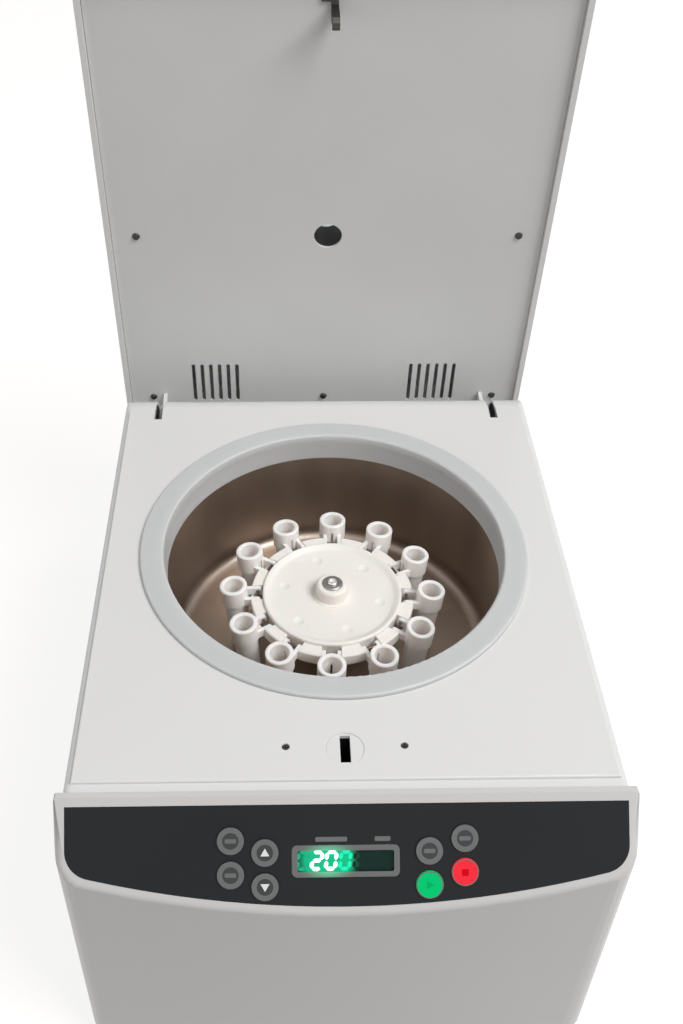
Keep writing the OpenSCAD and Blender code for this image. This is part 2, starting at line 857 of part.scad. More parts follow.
// Two bent brackets inside the back wall that hold the hinge pins.
module hinge_brackets() {
    wall_y = rear_y - casing_t;
    cheek = hinge_cheek_t;
    inner = arm_plate_t / 2 + gap;
    color(steel) for (s = [-1, 1]) translate([s * hinge_x, 0, 0]) difference() {
        union() {
            for (side = [-1, 1])
                translate([side * (inner + cheek / 2), 0, 0]) across(cheek) {
                    translate([hinge_y, hinge_z]) circle(7);
                    box2(hinge_y - 7, hinge_z - 24, wall_y, hinge_z - 6);
                    box2(hinge_y - 7, hinge_z - 10, hinge_y + 7, hinge_z);
                }
            box3([-6, wall_y - 2, hinge_z - 34], [6, wall_y, hinge_slot_z - 1]);
        }
        translate([0, hinge_y, hinge_z]) rotate([0, 90, 0])
            cylinder(r = hinge_pin_r, h = 40, center = true);
    }
}

// The two pins on which the lid turns.
module hinge_pins() {
    head_t = 1.8;
    len = arm_plate_t + 2 * (gap + hinge_cheek_t + head_t) + gap;
    color(dark_steel) for (s = [-1, 1])
        translate([s * hinge_x, hinge_y, hinge_z]) rotate([0, 90, 0]) {
            cylinder(r = hinge_pin_r, h = len, center = true);
            for (side = [-1, 1])
                translate([0, 0, side * (len - head_t) / 2])
                    cylinder(r = hinge_pin_r + 1.6, h = head_t, center = true);
        }
}

// Sprung plate that carries the motor.
module motor_plate() {
    color(steel) translate([0, 0, motor_z - plate_t]) difference() {
        linear_extrude(plate_t) round_rect(2 * plate_half, 2 * plate_half, 12);
        translate([0, 0, -cut]) for (x = [-1, 1], y = [-1, 1])
            translate([x * damper_at, y * damper_at, 0]) cylinder(r = 4, h = plate_t + 2 * cut);
    }
}

// Four waisted rubber dampers between the pan and the motor plate.
module motor_dampers() {
    z0 = base_z + pan_t;
    h = motor_z - plate_t - z0;
    color(black) for (x = [-1, 1], y = [-1, 1])
        translate([x * damper_at, y * damper_at, z0]) rotate_extrude() difference() {
            union() {
                box2(0, 0, damper_r, h);
                box2(0, h - eps, 4, h + plate_t);
            }
            translate([damper_r + 6, h / 2]) circle(9);
        }
}

// Closed motor with cooling ribs, a bearing seat at each end and the shaft's bore.
module motor_housing() {
    rib = 2.4;
    h = motor_top_z - motor_z;
    color(dark_steel) difference() {
        union() {
            translate([0, 0, motor_z]) cylinder(r = motor_r - 3, h = h - 6);
            translate([0, 0, motor_z]) cylinder(r = motor_r, h = 8);
            translate([0, 0, motor_top_z - 14]) cylinder(r = motor_r, h = 8);
            translate([0, 0, motor_top_z - 6 - eps]) cylinder(r = 24, h = 6 + eps);
            for (a = [0:20:340]) rotate([0, 0, a])
                translate([motor_r - 4, -rib / 2, motor_z + 4]) cube([3.2, rib, h - 14]);
        }
        translate([0, 0, motor_z + 5]) cylinder(r = shaft_r + 2, h = h);
        translate([0, 0, motor_z + 5]) cylinder(r = bearing_r, h = bearing_h);
        translate([0, 0, motor_top_z - bearing_h]) cylinder(r = bearing_r, h = bearing_h + cut);
    }
}

// Upper and lower ball bearings of the drive shaft.
module motor_bearings() {
    color(steel) for (z = [motor_z + 5, motor_top_z - bearing_h])
        translate([0, 0, z]) tube(bearing_r, shaft_r + run_gap, bearing_h);
}

// Bellows that closes the bowl's hole round the drive.
module shaft_boot() {
    zb = floor_z - bowl_t;
    neck = shoulder_shaft_r + 1.5;
    color(black) rotate_extrude() difference() {
        union() {
            box2(neck, motor_top_z, 20, zb);
            box2(neck, zb - eps, bowl_hole_r - run_gap, floor_z + eps);
            box2(neck, floor_z, bowl_hole_r + 2.5, floor_z + 2);
            box2(neck, floor_z + 2 - eps, neck + 2, floor_z + 4);
        }
        translate([20.5, (motor_top_z + zb) / 2]) circle(3);
    }
}

// Supply board with its transformer, capacitors and finned heat sink.
module power_board() {
    z0 = base_z + pan_t;
    x0 = -half_w + casing_t + 14;
    w = -plate_half - 9.4 - x0;
    l = 120;
    post_h = 8;
    post_in = 5;
    part_z = post_h + board_t;
    color("#2e6b3f") translate([x0, -l / 2, z0]) {
        for (x = [post_in, w - post_in], y = [post_in, l - post_in])
            translate([x, y, 0]) cylinder(r = 3, h = post_h);
        translate([0, 0, post_h]) cube([w, l, board_t]);
        translate([w * 0.15, 10, part_z]) cube([w * 0.7, 34, 30]);
        for (y = [58, 76]) translate([w * 0.3, y, part_z]) cylinder(r = w * 0.15, h = 26);
        translate([w * 0.6, 52, part_z]) cube([w * 0.3, 56, 3]);
        for (i = [0:6]) translate([w * 0.6, 52 + i * 9, part_z]) cube([w * 0.3, 2, 22]);
    }
}

// Mains inlet: flanged socket with three blades.
module power_inlet() {
    cavity_w = inlet_w - 3;
    cavity_h = inlet_h - 3.4;
    blade_y0 = -inlet_depth + 3 - eps;
    blade_y1 = blade_y0 + 11;
    color(black) translate([inlet_x, rear_y, inlet_z]) {
        difference() {
            union() {
                box3([-inlet_w / 2, -inlet_depth, -inlet_h / 2], [inlet_w / 2, 1, inlet_h / 2]);
                box3([-inlet_w / 2 - inlet_flange, 0, -inlet_h / 2 - inlet_flange],
                     [inlet_w / 2 + inlet_flange, 2.4, inlet_h / 2 + inlet_flange]);
            }
            difference() {
                box3([-cavity_w / 2, -inlet_depth + 3, -cavity_h / 2], [cavity_w / 2, 4, cavity_h / 2]);
                for (s = [-1, 1]) translate([s * cavity_w / 2, 0, cavity_h / 2]) rotate([0, 45, 0])
                    cube([5.6, 60, 5.6], center = true);
            }
        }
        for (x = [-7, 7]) box3([x - 1, blade_y0, -5], [x + 1, blade_y1, -1]);
        box3([-1, blade_y0, 0.5], [1, blade_y1, 4.5]);
    }
}

// Frame of the power switch.
module switch_housing() {
    color(black) translate([switch_x, rear_y, inlet_z]) difference() {
        union() {
            box3([-switch_w / 2, -16, -switch_h / 2], [switch_w / 2, 1, switch_h / 2]);
            box3([-switch_w / 2 - 2, 0, -switch_h / 2 - 2], [switch_w / 2 + 2, 2, switch_h / 2 + 2]);
        }
        box3([-switch_w / 2 + 1.5, -8, -switch_h / 2 + 1.2], [switch_w / 2 - 1.5, 4, switch_h / 2 - 1.2]);
        rotate([0, 90, 0]) cylinder(r = axle_r + run_gap, h = switch_w - 0.8, center = true);
    }
}

// Rocker of the power switch, tipped to its off side.
module rocker() {
    w = switch_w - 3 - 2 * gap;
    half = switch_h / 2 - 1.2 - 1;
    color(black) translate([switch_x, rear_y, inlet_z]) rotate([-rocker_tilt, 0, 0]) {
        across(w) polygon([[-4, -half + 2], [-4, half - 2], [2, half], [1.2, 0], [2, -half]]);
        rotate([0, 90, 0]) cylinder(r = axle_r, h = switch_w - 1.2, center = true);
    }
}

// Lid cover in its closed place: crowned moulding with screw posts and a sight opening.
module lid_cover() {
    top = lip_z + lid_h;
    difference() {
        lid_form(0, lip_z, top);
        difference() {
            lid_form(lid_wall, lip_z - cut, top - lid_top_t + lid_wall);
            lid_post_places() cylinder(r = liner_post_r, h = lid_h);
            translate([0, 0, liner_z + liner_t]) cylinder(r = sight_r + 6, h = lid_h);
        }
        translate([0, 0, lip_z]) cylinder(r = sight_r + 3 + run_gap, h = lid_h + cut);
        lid_post_places() translate([0, 0, -cut]) cylinder(r = liner_screw_r, h = 12);
    }
}

// The lid's outer form, drawn in by the given distance.
module lid_form(inset, z0, z1) {
    x1 = lid_half - inset;
    y0 = -lid_front_y + inset;
    y1 = lid_rear_y - inset;
    top = z1 - inset;
    r = lid_edge_r - inset;
    p = lid_plan_r - inset;
    intersection() {
        across(lid_w) {
            box2(y0, z0, y1, top - r);
            box2(y0 + r, z0, y1 - r, top);
            for (y = [y0 + r, y1 - r]) translate([y, top - r]) circle(r);
        }
        along(-lid_front_y, lid_rear_y) {
            box2(-x1, z0, x1, top - r);
            box2(-x1 + r, z0, x1 - r, top);
            for (s = [-1, 1]) translate([s * (x1 - r), top - r]) circle(r);
        }
        translate([0, (y0 + y1) / 2, z0]) linear_extrude(z1 - z0) round_rect(2 * x1, y1 - y0, p);
    }
}

// Places of the liner's screws on the liner's upper face, lid closed.
module lid_post_places() {
    for (x = [-1, 1], y = liner_screw_y)
        translate([x * liner_screw_x, y, liner_z + liner_t]) children();
    translate([0, liner_screw_y[0], liner_z + liner_t]) children();
}

module lid_shell() {
    color(white) on_lid() lid_cover();
}

// Flat inner panel of the lid with six vents a side, screw holes and the sight hole.
module lid_liner() {
    y0 = -lid_front_y + lid_wall + liner_gap;
    y1 = lid_rear_y - lid_wall - liner_gap;
    color(liner_grey) on_lid() translate([0, 0, liner_z]) linear_extrude(liner_t) difference() {
        translate([0, (y0 + y1) / 2]) round_rect(2 * liner_half, y1 - y0, 6);
        circle(sight_r);
        for (s = [-1, 1], i = [0:vent_n - 1])
            translate([s * (vent_first_x + i * vent_pitch), (vent_front_y + vent_rear_y) / 2])
                round_rect(vent_w, vent_rear_y - vent_front_y, vent_w / 2 - 0.05);
        for (x = [-1, 1], y = liner_screw_y)
            translate([x * liner_screw_x, y]) circle(liner_screw_r + gap);
        translate([0, liner_screw_y[0]]) circle(liner_screw_r + gap);
        for (s = [-1, 1])
            translate([s * hinge_x, (arm_neck_y + arm_rear_y) / 2])
                square([arm_plate_t + gap, arm_rear_y - arm_neck_y + 2 * gap], center = true);
    }
}

// Pan-head screws that hold the liner to the lid's posts.
module liner_screws() {
    head_h = 1.4;
    color(dark_steel) on_lid() lid_post_places() translate([0, 0, -liner_t]) difference() {
        union() {
            translate([0, 0, -head_h]) cylinder(r1 = 2.2, r2 = 2.8, h = head_h);
            translate([0, 0, -eps]) cylinder(r = liner_screw_r, h = liner_t + 8);
        }
        translate([0, 0, -head_h]) linear_extrude(0.8, center = true) {
            square([0.7, 3], center = true);
            square([3, 0.7], center = true);
        }
    }
}

// Flanged sleeve that frames the sight window.
module sight_bezel() {
    top = lip_z + lid_h;
    color(charcoal) on_lid() difference() {
        union() {
            translate([0, 0, liner_z + liner_t]) cylinder(r = sight_r + 3, h = top - liner_z - liner_t);
            translate([0, 0, top]) cylinder(r = sight_r + 6, h = 1.5);
        }
        translate([0, 0, liner_z]) cylinder(r = sight_r, h = lid_h + 4);
        translate([0, 0, top - 3]) cylinder(r = sight_r + 1.5, h = 6);
    }
}

// Clear disc of the sight window.
module sight_glass() {
    color([0.6, 0.8, 0.75, 0.4]) on_lid()
        translate([0, 0, lip_z + lid_h - 3]) cylinder(r = sight_r + 1.5, h = 3);
}

// Hook plate under the lid's front edge: a root, a foot, a shank and the notch for the lock's bolt.
module latch_hook() {
    y0 = latch_y - latch_slot_l / 2 + 0.4;
    y1 = y0 + hook_w;
    tip_z = liner_z - hook_len;
    notch_y = latch_y - bolt_w / 2 - 0.5;
    foot_t = 1.6;
    color(dark_steel) on_lid() {
        across(hook_t) difference() {
            polygon([
                [y0 - hook_root, liner_z], [y0 - hook_root, liner_z - foot_t], [y0, liner_z - 2.6],
                [y0, tip_z + 3], [y0 + 2.4, tip_z], [y1 - 1.5, tip_z], [y1, tip_z + 1.5],
                [y1, liner_z]
            ]);
            box2(notch_y, bolt_z - bolt_h / 2 - 0.4, y1 + cut, bolt_z + bolt_h / 2 + 0.4);
        }
        box3([-hook_t / 2 - 6, y0 - hook_root, liner_z - foot_t], [0, y0 - 1, liner_z]);
    }
}

// Two necked plates from the hinge pins up through the liner, each with a foot inside the lid.
module hinge_arms() {
    foot_t = 1.8;
    foot_w = 12;
    foot_z = liner_z + liner_t;
    color(steel) on_lid() for (s = [-1, 1]) {
        translate([s * hinge_x, 0, 0]) difference() {
            union() {
                across(arm_plate_t) {
                    translate([hinge_y, hinge_z]) circle(hinge_eye_r);
                    polygon([
                        [arm_front_y, hinge_z - arm_drop], [arm_front_y, hinge_z + arm_shoulder],
                        [arm_neck_y, hinge_z + arm_neck], [arm_neck_y, foot_z + foot_t],
                        [arm_rear_y, foot_z + foot_t], [arm_rear_y, hinge_z - arm_drop]
                    ]);
                }
                translate([s * -foot_w / 2, (arm_neck_y + arm_rear_y) / 2, foot_z])
                    linear_extrude(foot_t) square([foot_w, arm_rear_y - arm_neck_y], center = true);
            }
            translate([0, hinge_y, hinge_z]) rotate([0, 90, 0])
                cylinder(r = hinge_pin_r + run_gap, h = 20, center = true);
        }
    }
}

// Motor shaft with the shoulder on which the rotor sits.
module drive_shaft() {
    top = disc_under_z + 7;
    color(steel) rotate([0, 0, rotor_turn]) difference() {
        union() {
            translate([0, 0, motor_z + 6]) cylinder(r = shaft_r, h = top - motor_z - 6);
            translate([0, 0, motor_top_z + 2])
                cylinder(r = shoulder_shaft_r, h = hub_bottom_z - motor_top_z - 2);
        }
        translate([0, 0, top - 14]) cylinder(r = 2.5, h = 15);
    }
}

// Turns its children to the place of the given number.
module at_place(i) {
    rotate([0, 0, 90 + rotor_turn - place_angle * i]) children();
}

// Hub of the rotor: a core, a web and a ring of blocks, with a slot for each sleeve's arms.
module rotor_hub() {
    ledge_top = pivot_z - arm_half / cos(sleeve_lean)
        - (block_r - pivot_r) * tan(sleeve_lean) - gap;
    ring_in = disc_r - 4;
    color(ivory) difference() {
        rotate_extrude() union() {
            polygon([
                [shaft_r + run_gap, hub_bottom_z], [hub_r - 5, hub_bottom_z], [hub_r, hub_bottom_z + 6],
                [hub_r, block_bottom_z - 8], [hub_r + 8, block_bottom_z],
                [hub_r + 8, block_bottom_z + web_t], [hub_r, block_bottom_z + web_t],
                [hub_r, disc_under_z], [shaft_r + run_gap, disc_under_z]
            ]);
            box2(hub_r, block_bottom_z, ring_in + 1, block_bottom_z + web_t);
            polygon([
                [ring_in, block_bottom_z], [block_r - 1, block_bottom_z], [block_r, block_bottom_z + 2],
                [block_r, block_top_z - 0.8], [block_r - 0.8, block_top_z], [ring_in, block_top_z]
            ]);
        }
        for (i = [1:places]) at_place(i) {
            box3([slot_in_r, -slot_w / 2, block_bottom_z - cut],
                 [ledge_in_r, slot_w / 2, block_top_z + cut]);
            box3([slot_in_r, -slot_w / 2, ledge_top], [block_r + cut, slot_w / 2, block_top_z + cut]);
            translate([pivot_r, 0, pivot_z]) rotate([90, 0, 0])
                cylinder(r = pin_r, h = slot_w + 2 * pin_grip, center = true);
        }
    }
}

// Dished cover disc with a raised lip, six dimples and the centre boss.
module rotor_disc() {
    lip_r = 1.3;
    color(ivory) rotate([0, 0, rotor_turn]) difference() {
        rotate_extrude() difference() {
            union() {
                box2(0, disc_under_z, disc_r - 4.4, dish_z);
                polygon([
                    [disc_r - 4.4, disc_under_z], [disc_r - 4, block_top_z], [disc_r, block_top_z],
                    [disc_r, rim_z - lip_r], [disc_r - lip_r, rim_z - 0.4],
                    [disc_r - 2 * lip_r, rim_z - 0.4], [disc_r - 6.5, dish_z], [disc_r - 9, dish_z - eps]
                ]);
                translate([disc_r - lip_r, rim_z - lip_r]) circle(lip_r);
                box2(0, dish_z - eps, boss_ring_r, dish_z + 0.6);
                box2(0, dish_z, boss_r, boss_z - 2.5);
                box2(0, dish_z, boss_r - 2.5, boss_z);
                translate([boss_r - 2.5, boss_z - 2.5]) circle(2.5);
            }
            box2(-disc_r, disc_under_z - cut, 0, boss_z + cut);
        }
        translate([0, 0, disc_under_z - cut]) cylinder(r = shaft_r + run_gap, h = 8 + cut);
        translate([0, 0, disc_under_z]) cylinder(r = 2.7, h = 40);
        translate([0, 0, boss_z - 1.2]) cylinder(r = washer_r + run_gap, h = 4);
        for (i = [0:dimple_n - 1]) rotate([0, 0, dimple_turn - rotor_turn + i * 60])
            translate([dimple_at_r, 0, dish_z - dimple_depth
                + (dimple_r * dimple_r + dimple_depth * dimple_depth) / (2 * dimple_depth)])
                sphere((dimple_r * dimple_r + dimple_depth * dimple_depth) / (2 * dimple_depth));
    }
}

// Domed steel washer under the rotor's screw.
module rotor_washer() {
    color(dark_steel) translate([0, 0, boss_z - 1.2]) rotate_extrude() polygon([
        [2.7, 0], [washer_r, 0], [washer_r, washer_t - 1.2], [washer_r - 1.2, washer_t - 0.2],
        [4.4, washer_t - 0.2], [4.4, washer_t - 0.8], [2.7, washer_t - 0.8]
    ]);
}

// Socket screw that clamps the rotor to the shaft.
module rotor_screw() {
    seat = boss_z - 1.2 + washer_t - 0.8;
    color(steel) difference() {
        union() {
            translate([0, 0, seat]) cylinder(r = 3.3, h = 1.4);
            translate([0, 0, seat + 1.4 - eps]) cylinder(r1 = 3.3, r2 = 2.8, h = 0.5);
            translate([0, 0, disc_under_z - 2]) cylinder(r = 2.5, h = seat - disc_under_z + 2 + eps);
        }
        translate([0, 0, seat + 0.5]) cylinder(r = 1.9, h = 4, $fn = 6);
    }
}

// The pins on which the sleeves swing.
module pivot_pins() {
    color(steel) for (i = [1:places]) at_place(i)
        translate([pivot_r, 0, pivot_z]) rotate([90, 0, 0])
            cylinder(r = pin_r, h = slot_w + 2 * pin_grip, center = true);
}

// Tube sleeve with its collar and two arms, leaning on its stop.
module tube_sleeve(i) {
    arm_mid = (arm_gap + arm_t) / 2;
    chamfer = 0.6;
    color(ivory) at_place(i) translate([pivot_r, 0, pivot_z]) rotate([0, sleeve_lean, 0])
        difference() {
            union() {
                for (s = [-1, 1]) translate([0, s * arm_mid, 0]) {
                    rotate([90, 0, 0]) cylinder(r = arm_half, h = arm_t, center = true);
                    translate([0, -arm_t / 2, -arm_half]) cube([arm_reach - 4, arm_t, 2 * arm_half]);
                }
                translate([arm_reach, 0, 0]) rotate_extrude() polygon([
                    [0, sleeve_bottom], [sleeve_foot_r - 2, sleeve_bottom],
                    [sleeve_foot_r, sleeve_bottom + 2], [sleeve_body_r, collar_top - collar_h - 1],
                    [collar_r, collar_top - collar_h], [collar_r, collar_top - chamfer],
                    [collar_r - chamfer, collar_top], [0, collar_top]
                ]);
            }
            translate([arm_reach, 0, 0]) {
                translate([0, 0, sleeve_bottom + sleeve_floor_t + tube_bore_r])
                    cylinder(r = tube_bore_r, h = sleeve_len);
                translate([0, 0, sleeve_bottom + sleeve_floor_t + tube_bore_r]) sphere(tube_bore_r);
                translate([0, 0, sleeve_bottom - cut]) cylinder(r = drain_r, h = 2 * sleeve_floor_t);
                translate([0, 0, collar_top - chamfer])
                    cylinder(r1 = tube_bore_r, r2 = tube_bore_r + 2 * chamfer, h = 2 * chamfer);
                translate([-collar_r - cut, 0, collar_top - sleeve_slot_top])
                    mirror([0, 0, 1]) translate([0, -sleeve_slot_w / 2, 0])
                        cube([collar_r + cut, sleeve_slot_w, sleeve_slot_len]);
            }
            rotate([90, 0, 0]) cylinder(r = pin_r + run_gap, h = 2 * collar_r, center = true);
        }
}

base_pan();
rubber_feet();
outer_casing();
casing_screws();
top_deck();
front_bezel();
control_overlay();
display_lens();
display_module();
latch_escutcheon();
lock_screws();
lock_housing();
lock_bolt();
bowl();
bowl_gasket();
hinge_brackets();
hinge_pins();
motor_plate();
motor_dampers();
motor_housing();
motor_bearings();
shaft_boot();
control_board();
power_board();
power_inlet();
switch_housing();
rocker();
key(0, 0, key_grey);  // key_set
key(0, 1, key_grey);  // key_mode
key(1, 0, key_grey);  // key_up
key(1, 1, key_grey);  // key_down
key(2, 0, key_grey);  // key_lid
key(2, 1, "#17b06a");  // key_start
key(3, 0, key_grey);  // key_pulse
key(3, 1, "#e0525c");  // key_stop
lid_shell();
lid_liner();
liner_screws();
sight_bezel();
sight_glass();
latch_hook();
hinge_arms();
drive_shaft();
rotor_hub();
rotor_disc();
rotor_washer();
rotor_screw();
pivot_pins();
tube_sleeve(1);  // tube_sleeve_01
tube_sleeve(2);  // tube_sleeve_02
tube_sleeve(3);  // tube_sleeve_03
tube_sleeve(4);  // tube_sleeve_04
tube_sleeve(5);  // tube_sleeve_05
tube_sleeve(6);  // tube_sleeve_06
tube_sleeve(7);  // tube_sleeve_07
tube_sleeve(8);  // tube_sleeve_08
tube_sleeve(9);  // tube_sleeve_09
tube_sleeve(10);  // tube_sleeve_10
tube_sleeve(11);  // tube_sleeve_11
tube_sleeve(12);  // tube_sleeve_12
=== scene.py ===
"""Looks of a small bench centrifuge round its fixed CAD frame: finishes, panel graphics, lights, camera."""
import json
import math

import bmesh
import bpy
from mathutils import Matrix, Vector


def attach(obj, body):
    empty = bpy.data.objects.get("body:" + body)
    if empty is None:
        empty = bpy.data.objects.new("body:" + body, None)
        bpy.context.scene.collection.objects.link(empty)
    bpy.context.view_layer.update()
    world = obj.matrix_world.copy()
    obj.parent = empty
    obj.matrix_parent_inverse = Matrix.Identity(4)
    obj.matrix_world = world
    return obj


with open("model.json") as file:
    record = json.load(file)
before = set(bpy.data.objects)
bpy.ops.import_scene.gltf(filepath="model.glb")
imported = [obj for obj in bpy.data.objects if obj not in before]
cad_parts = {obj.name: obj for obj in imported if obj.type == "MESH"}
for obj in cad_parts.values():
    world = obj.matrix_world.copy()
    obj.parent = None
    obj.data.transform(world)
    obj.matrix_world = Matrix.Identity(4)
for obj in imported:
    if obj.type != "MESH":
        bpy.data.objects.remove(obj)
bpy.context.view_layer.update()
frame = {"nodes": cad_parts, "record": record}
NODES = frame["nodes"]

MM = 0.001
MICRON = 0.000001

# Places that the graphics share with the solids, in millimetres
DECK_Z = 232
PANEL_Y, PANEL_Z, PANEL_SLOPE = -192, 228, 48
OVERLAY_SINK = 0.2
OVERLAY_T = 1.2
LENS_X, LENS_S, LENS_W, LENS_H = -1.3, 31.1, 58, 17.2
KEY_RISE = 1.2
KEY_R = 7.4
KEY_PITCH = 18

# Across and down the panel of each column's upper key, and each key's column and row
KEY_COLUMNS = [(-62.8, 19.6), (-44.5, 26), (43.4, 26), (62.4, 19.6)]
KEYS = {
    "key_set": (0, 0), "key_mode": (0, 1), "key_up": (1, 0), "key_down": (1, 1),
    "key_lid": (2, 0), "key_start": (2, 1), "key_pulse": (3, 0), "key_stop": (3, 1),
}


# Makers of materials

RAMP_ENDS = (0.3, 0.7)
GRAIN_STRENGTH = 0.35
GLOSS_SHIFT = 0.12
TONE_SCALE, TONE_DETAIL = 9, 2
LATHE_SCALE, LATHE_DETAIL = 1500, 2
LATHE_STRENGTH, LATHE_DEPTH = 0.5, 20
LATHE_TONE = 0.12
CLOUD_SCALE, CLOUD_DETAIL = 14, 3
CLOUD_GLOSS = (0.8, 1.25)
STREAK_SQUEEZE = 0.1
SMUDGE_SCALE, SMUDGE_DETAIL = 40, 2
SMUDGE_GLOSS = 1.8
UNLIT = (0.02, 0.02, 0.02)


def principled(mat):
    """The node that holds a material's plain values."""
    return mat.node_tree.nodes["Principled BSDF"]


def shader(name, color, rough, metal=0.0, **sockets):
    """A new Principled material with its plain values set on the sockets."""
    mat = bpy.data.materials.new(name)
    mat.use_nodes = True
    bsdf = principled(mat)
    bsdf.inputs["Base Color"].default_value = (*color, 1)
    bsdf.inputs["Roughness"].default_value = rough
    bsdf.inputs["Metallic"].default_value = metal
    for key, value in sockets.items():
        bsdf.inputs[key.replace("_", " ")].default_value = value
    return mat


def add_noise(mat, scale, detail=3.0, stretch=(1, 1, 1)):
    """The factor of a noise texture in object space, with its own stretch."""
    tree = mat.node_tree
    coord = tree.nodes.new("ShaderNodeTexCoord")
    place = tree.nodes.new("ShaderNodeMapping")
    place.inputs["Scale"].default_value = stretch
    noise = tree.nodes.new("ShaderNodeTexNoise")
    noise.inputs["Scale"].default_value = scale
    noise.inputs["Detail"].default_value = detail
    tree.links.new(coord.outputs["Object"], place.inputs["Vector"])
    tree.links.new(place.outputs["Vector"], noise.inputs["Vector"])
    return noise.outputs["Fac"]


def add_bump(mat, factor, strength, depth):
    """A bump from a factor, its depth in thousandths of a millimetre."""
    tree = mat.node_tree
    bump = tree.nodes.new("ShaderNodeBump")
    bump.inputs["Strength"].default_value = strength
    bump.inputs["Distance"].default_value = depth * MICRON
    tree.links.new(factor, bump.inputs["Height"])
    tree.links.new(bump.outputs["Normal"], principled(mat).inputs["Normal"])


def vary(mat, socket, factor, low, high):
    """Lets a factor lead a socket, between two numbers or two colours."""
    ramp = mat.node_tree.nodes.new("ShaderNodeValToRGB")
    for element, position, value in zip(ramp.color_ramp.elements, RAMP_ENDS, (low, high)):
        element.position = position
        element.color = (*value, 1) if isinstance(value, tuple) else (value, value, value, 1)
    mat.node_tree.links.new(factor, ramp.inputs["Fac"])
    mat.node_tree.links.new(ramp.outputs["Color"], principled(mat).inputs[socket])


def darker(color, part):
    """A colour with a part of its light taken away."""
    return tuple(c * (1 - part) for c in color)


def moulded(name, color, rough, grain=900, depth=30, shift=0.02, **sockets):
    """Moulded plastic or rubber: fine grain in its surface and slight changes of tone and gloss."""
    mat = shader(name, color, rough, **sockets)
    fine = add_noise(mat, grain)
    broad = add_noise(mat, TONE_SCALE, TONE_DETAIL)
    add_bump(mat, fine, GRAIN_STRENGTH, depth)
    vary(mat, "Base Color", broad, darker(color, shift), color)
    vary(mat, "Roughness", fine, rough * (1 - GLOSS_SHIFT), min(1, rough * (1 + GLOSS_SHIFT)))
    return mat


def lathe_marks(mat):
    """The factor of fine marks that run round the Z axis."""
    tree = mat.node_tree
    coord = tree.nodes.new("ShaderNodeTexCoord")
    flat = tree.nodes.new("ShaderNodeVectorMath")
    flat.operation = "MULTIPLY"
    flat.inputs[1].default_value = (1, 1, 0)
    radius = tree.nodes.new("ShaderNodeVectorMath")
    radius.operation = "LENGTH"
    split = tree.nodes.new("ShaderNodeSeparateXYZ")
    join = tree.nodes.new("ShaderNodeCombineXYZ")
    marks = tree.nodes.new("ShaderNodeTexNoise")
    marks.inputs["Scale"].default_value = LATHE_SCALE
    marks.inputs["Detail"].default_value = LATHE_DETAIL
    links = tree.links
    links.new(coord.outputs["Object"], flat.inputs[0])
    links.new(coord.outputs["Object"], split.inputs[0])
    links.new(flat.outputs["Vector"], radius.inputs[0])
    links.new(radius.outputs["Value"], join.inputs["X"])
    links.new(split.outputs["Z"], join.inputs["Y"])
    links.new(join.outputs["Vector"], marks.inputs["Vector"])
    return marks.outputs["Fac"]


def turned_metal(name, color, rough, streaks=0.0):
    """Metal with fine lathe or roll marks, and soft upright streaks where asked."""
    mat = shader(name, color, rough, 1.0)
    marks = lathe_marks(mat)
    add_bump(mat, marks, LATHE_STRENGTH, LATHE_DEPTH)
    cloud = add_noise(mat, CLOUD_SCALE, CLOUD_DETAIL, (1, 1, STREAK_SQUEEZE if streaks else 1))
    vary(mat, "Roughness", cloud, rough * CLOUD_GLOSS[0], rough * CLOUD_GLOSS[1])
    if streaks:
        vary(mat, "Base Color", cloud, darker(color, streaks), color)
    else:
        vary(mat, "Base Color", marks, darker(color, LATHE_TONE), color)
    return mat


def clear(name, color, rough, alpha, **sockets):
    """A clear moulding, thin enough to be drawn as partly see-through, with faint smudges."""
    mat = shader(name, color, rough, Alpha=alpha, **sockets)
    smudges = add_noise(mat, SMUDGE_SCALE, SMUDGE_DETAIL)
    vary(mat, "Roughness", smudges, rough, rough * SMUDGE_GLOSS)
    return mat


def glowing(name, color, strength):
    """A lit surface that is nearly black apart from its own light."""
    return shader(name, UNLIT, 0.5, Emission_Color=(*color, 1), Emission_Strength=strength)


def add_halo(mat, matrix, cx, size, color, strength):
    """Light that spreads in a surface round a point of a plane's own frame, and dies away outwards."""
    tree = mat.node_tree
    bsdf = principled(mat)
    centre = matrix @ Matrix.Translation((cx * MM, 0, 0))
    coord = tree.nodes.new("ShaderNodeTexCoord")
    place = tree.nodes.new("ShaderNodeMapping")
    place.vector_type = "TEXTURE"
    place.inputs["Location"].default_value = centre.to_translation()
    place.inputs["Rotation"].default_value = matrix.to_euler()
    place.inputs["Scale"].default_value = (size[0] * MM, size[1] * MM, 1)
    round_off = tree.nodes.new("ShaderNodeTexGradient")
    round_off.gradient_type = "QUADRATIC_SPHERE"
    power = tree.nodes.new("ShaderNodeMath")
    power.operation = "MULTIPLY"
    power.inputs[1].default_value = strength
    power.use_clamp = True
    tree.links.new(coord.outputs["Object"], place.inputs["Vector"])
    tree.links.new(place.outputs["Vector"], round_off.inputs["Vector"])
    tree.links.new(round_off.outputs["Fac"], power.inputs[0])
    tree.links.new(power.outputs[0], bsdf.inputs["Emission Strength"])
    bsdf.inputs["Emission Color"].default_value = (*color, 1)


# Finishes: grain is a texture scale, depth is in thousandths of a millimetre, shift is a part of the tone

WHITE_GLOSS = dict(rough=0.34, grain=1100, depth=20, shift=0.012, Coat_Weight=0.1)
KEY_FACE = dict(rough=0.5, grain=1500, depth=20, shift=0.1)
PRINT_FACE = dict(rough=0.5, grain=1500, depth=10)
IVORY_SKIN = dict(rough=0.42, grain=700, depth=40, shift=0.02)
LOW_SHEEN = 0.08

